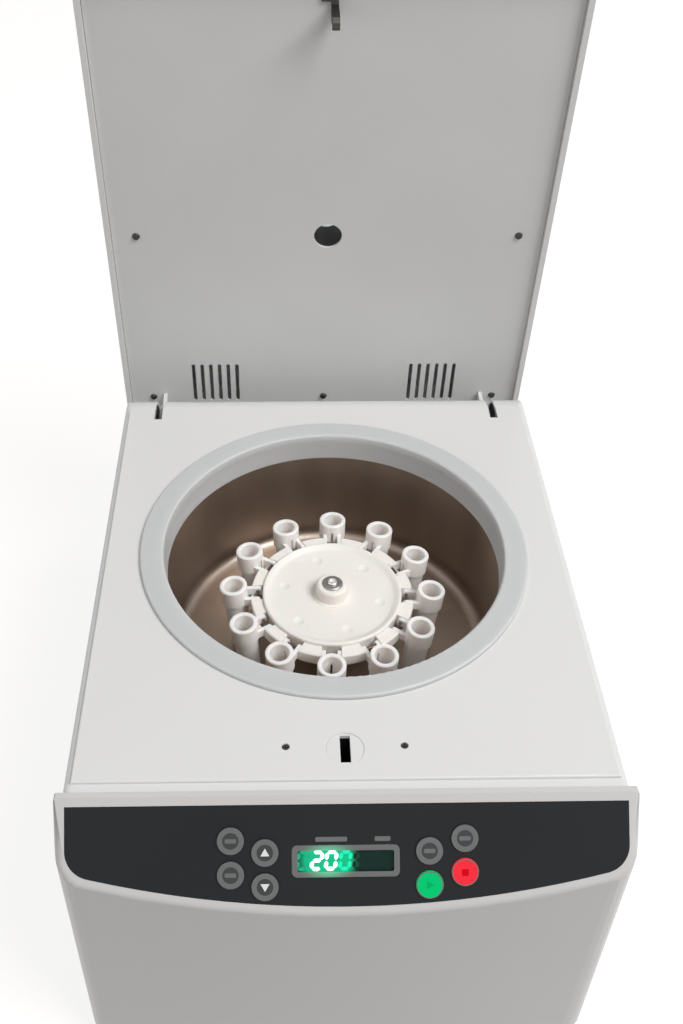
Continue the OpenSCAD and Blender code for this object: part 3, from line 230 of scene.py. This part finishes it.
MATERIALS = {
    "painted_sheet": moulded("painted_sheet", (0.7, 0.7, 0.697), 0.38, 700, 30, 0.015, Coat_Weight=0.15),
    "white_moulding": moulded("white_moulding", (0.71, 0.705, 0.697), **WHITE_GLOSS),
    "liner_sheet": moulded("liner_sheet", (0.68, 0.68, 0.677), 0.62, 420, 120, 0.05),
    "overlay_film": moulded("overlay_film", (0.011, 0.012, 0.0135), 0.46, 1500, 20, 0.2,
                            Specular_IOR_Level=0.22),
    "key_grey": moulded("key_grey", (0.025, 0.027, 0.029), **KEY_FACE),
    "key_green": moulded("key_green", (0.0, 0.6, 0.18), **KEY_FACE, Specular_IOR_Level=LOW_SHEEN),
    "key_red": moulded("key_red", (1.0, 0.033, 0.055), **KEY_FACE, Specular_IOR_Level=LOW_SHEEN),
    "lens": clear("lens", (0.0, 0.02, 0.014), 0.18, 0.25, Specular_IOR_Level=LOW_SHEEN),
    "display": moulded("display", (0.0, 0.022, 0.014), 0.5, 900, 20, 0.3),
    "circuit_board": moulded("circuit_board", (0.02, 0.16, 0.06), 0.4, 900, 50, 0.2),
    "black_moulding": moulded("black_moulding", (0.02, 0.02, 0.022), 0.5, 900, 40, 0.1),
    "rubber": moulded("rubber", (0.022, 0.022, 0.022), 0.8, 600, 60, 0.15),
    "silicone": moulded("silicone", (0.58, 0.588, 0.588), 0.42, 500, 30, 0.02,
                        Subsurface_Weight=0.5, Subsurface_Scale=0.012, Subsurface_Radius=(1, 1, 1)),
    "stainless": turned_metal("stainless", (0.42, 0.345, 0.29), 0.4, streaks=0.36),
    "plated_steel": turned_metal("plated_steel", (0.62, 0.62, 0.61), 0.32),
    "dark_steel": turned_metal("dark_steel", (0.085, 0.078, 0.072), 0.48),
    "motor_paint": moulded("motor_paint", (0.05, 0.055, 0.06), 0.45, 800, 60, 0.1),
    "ivory": moulded("ivory", (0.9, 0.855, 0.805), **IVORY_SKIN,
                     Subsurface_Weight=0.25, Subsurface_Scale=0.004, Subsurface_Radius=(1, 0.6, 0.4)),
    "sight_glass": clear("sight_glass", (0.45, 0.75, 0.55), 0.05, 0.3),
}

# Pieces that look a little different from the rest of their slot: the washer in its own darker steel, the
# others with light or shade painted into their colour
OWN_AND_PAINTED_LOOKS = {
    # The front moulding is the deck's white plastic, drawn darker and a little warmer: painted shade on its
    # forward and downward facing front
    "front_bezel": moulded("bezel_painted_shade", (0.58, 0.572, 0.562), **WHITE_GLOSS),
    "rotor_washer": turned_metal("washer_steel", (0.3, 0.285, 0.275), 0.5),
    # The rotor screw is drawn brighter than its steel: a painted highlight for the bright spot on its head
    "rotor_screw": turned_metal("screw_painted_highlight", (0.93, 0.91, 0.89), 0.34),
    # The pivot pins are drawn dark brown: painted shade of the holes round them, where the bowl's shade
    # falls
    "pivot_pins": turned_metal("pin_painted_shade", (0.16, 0.12, 0.1), 0.45),
}
SLEEVE_COUNT = 12
# The sleeves are the rotor's ivory plastic, drawn lighter and pinker: painted light on their front-facing
# sides and painted warm bounce from the bowl
SLEEVE_PAINTED_LIGHT_LOOK = moulded("sleeve_ivory_painted_light", (0.96, 0.905, 0.875), **IVORY_SKIN,
                      Subsurface_Weight=0.4, Subsurface_Scale=0.006, Subsurface_Radius=(1, 0.6, 0.45))
for i in range(SLEEVE_COUNT):
    OWN_AND_PAINTED_LOOKS[f"tube_sleeve_{i + 1:02d}"] = SLEEVE_PAINTED_LIGHT_LOOK

PRINT_GREY = moulded("print_grey", (0.13, 0.135, 0.133), **PRINT_FACE, shift=0.1)
PRINT_WHITE = moulded("print_white", (0.78, 0.78, 0.78), **PRINT_FACE, shift=0.05)
PRINT_GREEN = moulded("print_green", (0.0, 0.45, 0.12), **PRINT_FACE, Specular_IOR_Level=LOW_SHEEN)
PRINT_RED = moulded("print_red", (0.7, 0.0, 0.012), **PRINT_FACE, Specular_IOR_Level=LOW_SHEEN)


def dress_nodes():
    """Gives each CAD node the finish of its material slot, or its own look, some of which have light or
    shade painted in.
    """
    for row in frame["record"]["subparts"]:
        obj = NODES[row["node"]]
        mat = OWN_AND_PAINTED_LOOKS.get(row["node"], MATERIALS[row["material_slot"]])
        for place in obj.material_slots:
            place.material = mat
        if not obj.material_slots:
            obj.data.materials.append(mat)


# Rounding of edges, in millimetres

SOFT_EDGES = {
    "top_deck": 0.4, "front_bezel": 0.5, "lid_shell": 0.6, "bowl_gasket": 2.0,
    "rotor_hub": 0.25, "rotor_disc": 0.3, "hinge_arms": 0.3, "latch_hook": 0.2,
    "latch_escutcheon": 0.2, "power_inlet": 0.3, "switch_housing": 0.3,
}
WIDE_EDGE = 1
NARROW_STEPS, WIDE_STEPS = 2, 4
SHARP_ANGLE = 35
WELD_GAP = 0.01
FLAT_WEIGHT = 100


def soften(node, width):
    """Rounds a node's sharp edges a little, as a mould or a press leaves them, and keeps its flats flat."""
    obj = NODES[node]
    weld = obj.modifiers.new("weld", "WELD")
    weld.merge_threshold = WELD_GAP * MM
    bevel = obj.modifiers.new("edge", "BEVEL")
    bevel.width = width * MM
    bevel.segments = NARROW_STEPS if width < WIDE_EDGE else WIDE_STEPS
    bevel.limit_method = "ANGLE"
    bevel.angle_limit = math.radians(SHARP_ANGLE)
    bevel.use_clamp_overlap = True
    flats = obj.modifiers.new("flats", "WEIGHTED_NORMAL")
    flats.mode = "FACE_AREA"
    flats.weight = FLAT_WEIGHT


# Makers of drawn pieces

PANEL = (Matrix.Translation(Vector((0, PANEL_Y, PANEL_Z)) * MM)
         @ Matrix.Rotation(math.radians(PANEL_SLOPE), 4, "X"))
PRINT_T = 0.05
PRINT_SINK = 0.02


def new_piece(name, mesh_maker, mat, body, matrix):
    """Makes an object from a bmesh recipe in millimetres, places it and lets it ride on a body."""
    bm = bmesh.new()
    mesh_maker(bm)
    bmesh.ops.scale(bm, vec=(MM, MM, MM), verts=bm.verts)
    bmesh.ops.transform(bm, matrix=matrix, verts=bm.verts)
    bmesh.ops.recalc_face_normals(bm, faces=bm.faces)
    mesh = bpy.data.meshes.new(name)
    bm.to_mesh(mesh)
    bm.free()
    mesh.materials.append(mat)
    obj = bpy.data.objects.new(name, mesh)
    bpy.context.scene.collection.objects.link(obj)
    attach(obj, body)


def prism(bm, outline, z0, z1):
    """A closed prism over an outline of (x, y) points."""
    low = [bm.verts.new((x, y, z0)) for x, y in outline]
    high = [bm.verts.new((x, y, z1)) for x, y in outline]
    bm.faces.new(low[::-1])
    bm.faces.new(high)
    for i in range(len(outline)):
        j = (i + 1) % len(outline)
        bm.faces.new((low[i], low[j], high[j], high[i]))


def band(bm, outer, inner, z0, z1, crown):
    """A closed ring between two outlines with the same number of points, slightly crowned."""
    n = len(outer)
    middle = [((a[0] + b[0]) / 2, (a[1] + b[1]) / 2) for a, b in zip(outer, inner)]
    rows = [(outer, z0), (outer, z1), (middle, z1 + crown), (inner, z1), (inner, z0)]
    made = [[bm.verts.new((x, y, z)) for x, y in line] for line, z in rows]
    for k in range(len(made)):
        a, b = made[k], made[(k + 1) % len(made)]
        for i in range(n):
            j = (i + 1) % n
            bm.faces.new((a[i], a[j], b[j], b[i]))


def slab_piece(name, outline, z0, z1, mat, body, matrix):
    """A thin flat piece over an outline."""
    new_piece(name, lambda bm: prism(bm, outline, z0, z1), mat, body, matrix)


def ring_piece(name, outer, inner, height, crown, mat, body, matrix):
    """A thin ring, sunk a hair into the face that it lies on."""
    new_piece(name, lambda bm: band(bm, outer, inner, -PRINT_SINK, height, crown), mat, body, matrix)


def printed_piece(name, outline, mat, body, matrix):
    """A flat print, sunk a hair into the face that it lies on."""
    slab_piece(name, outline, -PRINT_SINK, PRINT_T, mat, body, matrix)


def circle_points(r, n=48):
    """An outline of a circle."""
    return [(r * math.cos(2 * math.pi * i / n), r * math.sin(2 * math.pi * i / n)) for i in range(n)]


def round_rect_points(w, h, r, cx=0.0, cy=0.0, steps=6):
    """An outline of a rectangle with round corners."""
    points = []
    for quarter, (sx, sy) in enumerate([(1, 1), (-1, 1), (-1, -1), (1, -1)]):
        corner_x = cx + sx * (w / 2 - r)
        corner_y = cy + sy * (h / 2 - r)
        for i in range(steps + 1):
            a = math.radians(90 * quarter + 90 * i / steps)
            points.append((corner_x + r * math.cos(a), corner_y + r * math.sin(a)))
    return points


# Prints on the keys, in millimetres from the middle of a key's top face

RING_RIM = 0.2
RING_CROWN = 0.03
GREY_RING_INNER_R = 4.4
TINTED_RIM = 0.75
TINTED_RING_INNER_R = KEY_R - TINTED_RIM
TINTED_KEYS = ("key_start", "key_stop")
UP_MARK = [(-2.4, -1.7), (2.4, -1.7), (0, 2.4)]
DOWN_MARK = [(x, -y) for x, y in reversed(UP_MARK)]
ARROWS = {"key_up": UP_MARK, "key_down": DOWN_MARK}
BAR_MARK = round_rect_points(6.2, 2.3, 0.8)
START_MARK = [(-1.6, -2.2), (2.4, 0), (-1.6, 2.2)]
STOP_MARK = round_rect_points(3.6, 3.6, 0.5)


def key_top(name):
    """Matrix of a key's top face."""
    col, row = KEYS[name]
    x, s = KEY_COLUMNS[col]
    place = Vector((x, -s - row * KEY_PITCH, KEY_RISE - OVERLAY_SINK)) * MM
    return PANEL @ Matrix.Translation(place)


def make_key_prints():
    """The ring on every key, and the mark in the middle of each."""
    for name in KEYS:
        tinted = name in TINTED_KEYS
        outer = circle_points(KEY_R - RING_RIM)
        inner = circle_points(TINTED_RING_INNER_R if tinted else GREY_RING_INNER_R)
        ring_piece(name + "_ring", outer, inner, PRINT_T, RING_CROWN,
                   PRINT_GREY, name, key_top(name))
        if name in ARROWS:
            printed_piece(name + "_arrow", ARROWS[name], PRINT_WHITE, name, key_top(name))
        elif not tinted:
            printed_piece(name + "_bar", BAR_MARK, PRINT_GREY, name, key_top(name))
    printed_piece("key_start_mark", START_MARK, PRINT_GREEN, "key_start", key_top("key_start"))
    printed_piece("key_stop_mark", STOP_MARK, PRINT_RED, "key_stop", key_top("key_stop"))


# The display, in millimetres from the middle of the lens

WINDOW_W, WINDOW_H, WINDOW_R = 51.6, 11.2, 1.0
FRAME_RIM, FRAME_R = 0.3, 2.9
FRAME_T, FRAME_CROWN = 0.08, 0.04
DISPLAY_GAP = 0.28
DISPLAY_Z = -OVERLAY_T - DISPLAY_GAP
DISPLAY_BLACK = (0.0, 0.022, 0.014)
HALO_MARGIN = 1
HALO_T = 0.05
HALO_X = -9.6
HALO_GREEN = (0.0, 0.9, 0.4)
FRAME_HALO_SIZE, FRAME_HALO_POWER = (18, 13), 1.6
WINDOW_HALO_SIZE, WINDOW_HALO_POWER = (18.5, 18), 8.0
DIGIT_X0, DIGIT_PITCH = -23, 7.6
DIGIT_W, DIGIT_H, DIGIT_BAR = 5, 8.9, 2
DIGIT_T = 0.1
DIGIT_LEAN = 0.12
SEGMENT_GAP = 0.15
LABEL_BARS = [(-7.8, 17), (19.7, 8.4)]
LABEL_Y, LABEL_H, LABEL_R = 11.6, 2.5, 0.7

# Each segment's place in a digit, in widths and half heights, and whether it stands
SEGMENTS = {
    "a": (0, 1, 0), "b": (0.5, 0.5, 1), "c": (0.5, -0.5, 1), "d": (0, -1, 0),
    "e": (-0.5, -0.5, 1), "f": (-0.5, 0.5, 1), "g": (0, 0, 0),
}
DIGITS = {"2": "abged", "0": "abcdef", "8": "abcdefg"}


def segment_outline(key, cx):
    """A six-sided segment of the digit at cx, leaning a little."""
    px, py, upright = SEGMENTS[key]
    x, y = cx + px * DIGIT_W, py * DIGIT_H / 2
    half = (DIGIT_H / 2 if upright else DIGIT_W) / 2 - DIGIT_BAR * SEGMENT_GAP
    k = DIGIT_BAR / 2
    points = [(-half, 0), (-half + k, -k), (half - k, -k), (half, 0), (half - k, k), (-half + k, k)]
    if upright:
        points = [(-b, a) for a, b in points]
    return [(x + a + DIGIT_LEAN * (y + b), y + b) for a, b in points]


def make_display_frame(at):
    """The grey frame round the window, with the digits' light on it."""
    outer = round_rect_points(LENS_W - FRAME_RIM, LENS_H - FRAME_RIM, FRAME_R)
    inner = round_rect_points(WINDOW_W, WINDOW_H, WINDOW_R)
    look = moulded("frame_grey", (0.13, 0.135, 0.133), **PRINT_FACE, shift=0.1)
    add_halo(look, at, HALO_X, FRAME_HALO_SIZE, HALO_GREEN, FRAME_HALO_POWER)
    ring_piece("display_frame", outer, inner, FRAME_T, FRAME_CROWN, look, "base", at)


def make_digits(at):
    """The lit digits and the unlit ones behind the lens, over a glow that fades out to the sides."""
    spread = shader("display_halo", DISPLAY_BLACK, 0.5)
    add_halo(spread, at, HALO_X, WINDOW_HALO_SIZE, HALO_GREEN, WINDOW_HALO_POWER)
    back = round_rect_points(WINDOW_W + HALO_MARGIN, WINDOW_H + HALO_MARGIN, WINDOW_R)
    slab_piece("display_halo", back, DISPLAY_Z, DISPLAY_Z + HALO_T, spread, "base", at)
    lit = glowing("digit_lit", (0.6, 1.0, 0.9), 6.0)
    dim = glowing("digit_dim", (0.0, 1.0, 0.55), 1.7)
    faint = glowing("digit_faint", (0.0, 1.0, 0.5), 0.75)
    unlit = moulded("digit_unlit", (0.0, 0.03, 0.02), 0.5, depth=10)
    shown = [("0", faint), ("2", lit), ("0", lit), ("0", dim), ("8", unlit), ("8", unlit), ("8", unlit)]
    for i, (figure, look) in enumerate(shown):
        for key in DIGITS[figure]:
            outline = segment_outline(key, DIGIT_X0 + i * DIGIT_PITCH)
            slab_piece(f"digit_{i}_{key}", outline, DISPLAY_Z, DISPLAY_Z + DIGIT_T,
                       look, "base", at)


def make_label_bars(at):
    """Two plain bars above the display."""
    for x, w in LABEL_BARS:
        outline = round_rect_points(w, LABEL_H, LABEL_R, x, LABEL_Y)
        printed_piece(f"label_bar_{int(w)}", outline, PRINT_GREY, "base", at)


def make_display():
    """Everything that is drawn in the lens and round it."""
    at = PANEL @ Matrix.Translation(Vector((LENS_X, -LENS_S, -OVERLAY_SINK)) * MM)
    make_display_frame(at)
    make_digits(at)
    make_label_bars(at)


# Stage and lights, in metres and watts

FLOOR_SIZE, FLOOR_Y = 12, 2.5
FLOOR_COLOR = (0.27, 0.255, 0.245)
FLOOR_ROUGH = 0.9
FLOOR_SHOWN = 0.8
WORLD_UNSEEN, WORLD_SEEN = 0.36, 1
WHITE = (1, 1, 1, 1)

# Each lamp's place, the point that it is aimed at, its size and its power
LAMPS = {
    "top_light": ((1.6, -1.0, 2.8), (0, 0, 0.3), (1.6, 1.6), 83),
    "fill_light": ((-1.9, -0.6, 0.8), (0, 0, 0.4), (1.2, 1.0), 5),
}


def show_pale(tree, strength, unseen, seen):
    """Sets a strength to one value for light on the object, and to another for what is seen.

    What is seen meets the eye straight or by way of metal and glass.
    """
    path = tree.nodes.new("ShaderNodeLightPath")
    last = path.outputs["Is Camera Ray"]
    for kind in ("Is Glossy Ray", "Is Transmission Ray"):
        either = tree.nodes.new("ShaderNodeMath")
        either.operation = "MAXIMUM"
        tree.links.new(last, either.inputs[0])
        tree.links.new(path.outputs[kind], either.inputs[1])
        last = either.outputs[0]
    level = tree.nodes.new("ShaderNodeMapRange")
    level.inputs["To Min"].default_value = unseen
    level.inputs["To Max"].default_value = seen
    tree.links.new(last, level.inputs["Value"])
    tree.links.new(level.outputs["Result"], strength)


def make_stage():
    """A wide pale floor that shows as nearly white, and keeps the object's shadow."""
    mat = shader("floor", FLOOR_COLOR, FLOOR_ROUGH, Emission_Color=WHITE)
    show_pale(mat.node_tree, principled(mat).inputs["Emission Strength"], 0, FLOOR_SHOWN)
    bpy.ops.mesh.primitive_plane_add(size=FLOOR_SIZE, location=(0, FLOOR_Y, 0))
    floor = bpy.context.object
    floor.name = "floor"
    floor.data.materials.append(mat)


def make_world():
    """Soft white surroundings."""
    world = bpy.data.worlds.new("studio")
    bpy.context.scene.world = world
    world.use_nodes = True
    back = world.node_tree.nodes["Background"]
    back.inputs["Color"].default_value = WHITE
    show_pale(world.node_tree, back.inputs["Strength"], WORLD_UNSEEN, WORLD_SEEN)


def make_lights():
    """A large soft lamp high on the right, and a weak one low on the left."""
    for name, (place, aim, size, power) in LAMPS.items():
        data = bpy.data.lights.new(name, "AREA")
        data.shape = "RECTANGLE"
        data.size, data.size_y = size
        data.energy = power
        lamp = bpy.data.objects.new(name, data)
        bpy.context.scene.collection.objects.link(lamp)
        lamp.location = place
        lamp.rotation_euler = (Vector(aim) - Vector(place)).to_track_quat("-Z", "Y").to_euler()


# Camera, measured from the photograph's straight edges and circles, in millimetres, degrees and pixels

CAMERA_AT = (-34.9, -536.8, 524.7 + DECK_Z)
CAMERA_DOWN, CAMERA_YAW, CAMERA_ROLL = 39.92, 1.52, 0.63
IMAGE_W, IMAGE_H = 683, 1024
FOCAL_PX = 1130.75
CENTRE_PX = (303.51, 457.98)
SENSOR = 36
NEAR_CLIP = 10


def make_camera():
    """The photograph's view."""
    down, yaw, roll = (math.radians(v) for v in (CAMERA_DOWN, CAMERA_YAW, CAMERA_ROLL))
    ahead = Vector((math.sin(yaw) * math.cos(down), math.cos(yaw) * math.cos(down), -math.sin(down)))
    right = Vector((math.cos(yaw), -math.sin(yaw), 0))
    up = right.cross(ahead)
    right_r = right * math.cos(roll) + up * math.sin(roll)
    up_r = up * math.cos(roll) - right * math.sin(roll)
    long_side = max(IMAGE_W, IMAGE_H)
    data = bpy.data.cameras.new("camera")
    data.sensor_fit = "AUTO"
    data.sensor_width = SENSOR
    data.lens = FOCAL_PX / long_side * SENSOR
    data.shift_x = (IMAGE_W / 2 - CENTRE_PX[0]) / long_side
    data.shift_y = (CENTRE_PX[1] - IMAGE_H / 2) / long_side
    data.clip_start = NEAR_CLIP * MM
    camera = bpy.data.objects.new("camera", data)
    bpy.context.scene.collection.objects.link(camera)
    axes = Matrix((right_r, up_r, -ahead)).transposed().to_4x4()
    camera.matrix_world = Matrix.Translation(Vector(CAMERA_AT) * MM) @ axes
    bpy.context.scene.camera = camera


make_camera()
dress_nodes()
for node, width in SOFT_EDGES.items():
    soften(node, width)
make_key_prints()
make_display()
make_stage()
make_world()
make_lights()
bpy.context.scene.view_settings.view_transform = "Standard"
